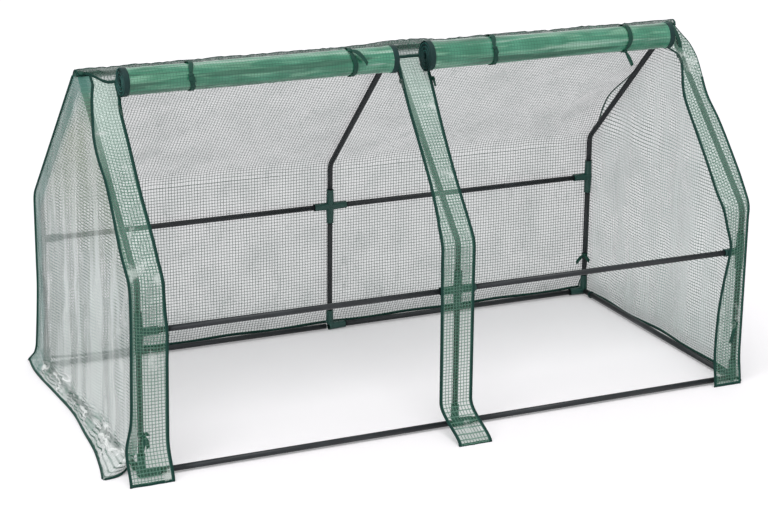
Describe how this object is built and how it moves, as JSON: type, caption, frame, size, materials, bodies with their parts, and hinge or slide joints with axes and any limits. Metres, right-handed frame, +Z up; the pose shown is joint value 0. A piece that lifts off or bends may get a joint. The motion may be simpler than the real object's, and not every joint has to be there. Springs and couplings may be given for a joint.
{
  "type": "greenhouse",
  "caption": "Low garden greenhouse: push-fit steel tube frame, fitted mesh-reinforced film cover and roll-up zip doors along one side.",
  "frame": {"origin": "on the ground, in the middle of the frame seen from above", "axes": "+X along the length, to the right as seen from the door side; +Y to the closed rear side; +Z up"},
  "size_m": [1.951, 1.1239, 1.003],
  "materials": {
    "coated_steel": "dark grey powder coat, satin",
    "green_plastic": "moulded, satin",
    "mesh_film": "clear film over a green thread grid, glossy",
    "rolled_film": "the same film in many layers, glossy",
    "green_ribbon": "woven ribbon",
    "zip_metal": "painted, satin"
  },
  "bodies": {
    "frame_and_cover": {"base_rail_front_left": "coated_steel", "mid_rail_front_left": "coated_steel", "base_rail_front_right": "coated_steel", "mid_rail_front_right": "coated_steel", "lower_post_front_left": "coated_steel", "roof_tube_front_left": "coated_steel", "lower_post_front_middle": "coated_steel", "roof_tube_front_middle": "coated_steel", "lower_post_front_right": "coated_steel", "roof_tube_front_right": "coated_steel", "base_rail_rear_left": "coated_steel", "mid_rail_rear_left": "coated_steel", "base_rail_rear_right": "coated_steel", "mid_rail_rear_right": "coated_steel", "lower_post_rear_left": "coated_steel", "roof_tube_rear_left": "coated_steel", "lower_post_rear_middle": "coated_steel", "roof_tube_rear_middle": "coated_steel", "lower_post_rear_right": "coated_steel", "roof_tube_rear_right": "coated_steel", "ridge_tube_left": "coated_steel", "ridge_tube_right": "coated_steel", "base_rail_left_end": "coated_steel", "base_rail_right_end": "coated_steel", "corner_connector_front_left": "green_plastic", "side_tee_front_left": "green_plastic", "corner_connector_front_right": "green_plastic", "side_tee_front_right": "green_plastic", "corner_connector_rear_left": "green_plastic", "side_tee_rear_left": "green_plastic", "corner_connector_rear_right": "green_plastic", "side_tee_rear_right": "green_plastic", "base_tee_front": "green_plastic", "side_cross_front": "green_plastic", "base_tee_rear": "green_plastic", "side_cross_rear": "green_plastic", "ridge_end_connector_left": "green_plastic", "ridge_end_connector_right": "green_plastic", "ridge_middle_connector": "green_plastic", "cover_rear_and_roof": "mesh_film", "cover_left_end": "mesh_film", "cover_right_end": "mesh_film", "cover_front_left_strip": "mesh_film", "cover_front_middle_strip": "mesh_film", "cover_front_right_strip": "mesh_film", "frame_tie_rear_right": "green_ribbon"},
    "left_door": {"left_door_roll": "rolled_film", "left_door_tie_left": "green_ribbon", "left_door_tie_right": "green_ribbon"},
    "right_door": {"right_door_roll": "rolled_film", "right_door_tie_left": "green_ribbon", "right_door_tie_right": "green_ribbon"},
    "left_door_left_zip_slider": {"left_door_left_zip_slider": "zip_metal"},
    "left_door_left_pull_tab": {"left_door_left_pull_tab": "zip_metal"},
    "left_door_right_zip_slider": {"left_door_right_zip_slider": "zip_metal"},
    "left_door_right_pull_tab": {"left_door_right_pull_tab": "zip_metal"},
    "right_door_left_zip_slider": {"right_door_left_zip_slider": "zip_metal"},
    "right_door_left_pull_tab": {"right_door_left_pull_tab": "zip_metal"},
    "right_door_right_zip_slider": {"right_door_right_zip_slider": "zip_metal"},
    "right_door_right_pull_tab": {"right_door_right_pull_tab": "zip_metal"}
  },
  "joints": [
    {"name": "left_door_unroll", "type": "slide", "parent": "frame_and_cover", "child": "left_door", "axis": [0, -0.7014, -0.7127], "range_m": [0, 0.36]},
    {"name": "right_door_unroll", "type": "slide", "parent": "frame_and_cover", "child": "right_door", "axis": [0, -0.7014, -0.7127], "range_m": [0, 0.36]},
    {"name": "left_door_left_zip_travel", "type": "slide", "parent": "frame_and_cover", "child": "left_door_left_zip_slider", "axis": [-0.016, -0.7014, -0.7126], "range_m": [0, 0.38]},
    {"name": "left_door_left_tab_lift", "type": "hinge", "parent": "left_door_left_zip_slider", "child": "left_door_left_pull_tab", "pos_m": [-0.82258, -0.09123, 0.89923], "axis": [-0.9999, 0.0112, 0.0114], "range_deg": [0, 100]},
    {"name": "left_door_right_zip_travel", "type": "slide", "parent": "frame_and_cover", "child": "left_door_right_zip_slider", "axis": [-0.0817, -0.6991, -0.7103], "range_m": [0, 0.38]},
    {"name": "left_door_right_tab_lift", "type": "hinge", "parent": "left_door_right_zip_slider", "child": "left_door_right_pull_tab", "pos_m": [-0.01364, -0.09123, 0.89923], "axis": [-0.9967, 0.0573, 0.0582], "range_deg": [0, 100]},
    {"name": "right_door_left_zip_travel", "type": "slide", "parent": "frame_and_cover", "child": "right_door_left_zip_slider", "axis": [-0.0746, -0.6995, -0.7107], "range_m": [0, 0.38]},
    {"name": "right_door_left_tab_lift", "type": "hinge", "parent": "right_door_left_zip_slider", "child": "right_door_left_pull_tab", "pos_m": [0.08409, -0.09123, 0.89923], "axis": [-0.9972, 0.0523, 0.0532], "range_deg": [0, 100]},
    {"name": "right_door_right_zip_travel", "type": "slide", "parent": "frame_and_cover", "child": "right_door_right_zip_slider", "axis": [-0.1202, -0.6964, -0.7076], "range_m": [0, 0.38]},
    {"name": "right_door_right_tab_lift", "type": "hinge", "parent": "right_door_right_zip_slider", "child": "right_door_right_pull_tab", "pos_m": [0.88147, -0.09123, 0.89923], "axis": [-0.9927, 0.0843, 0.0857], "range_deg": [0, 100]}
  ]
}
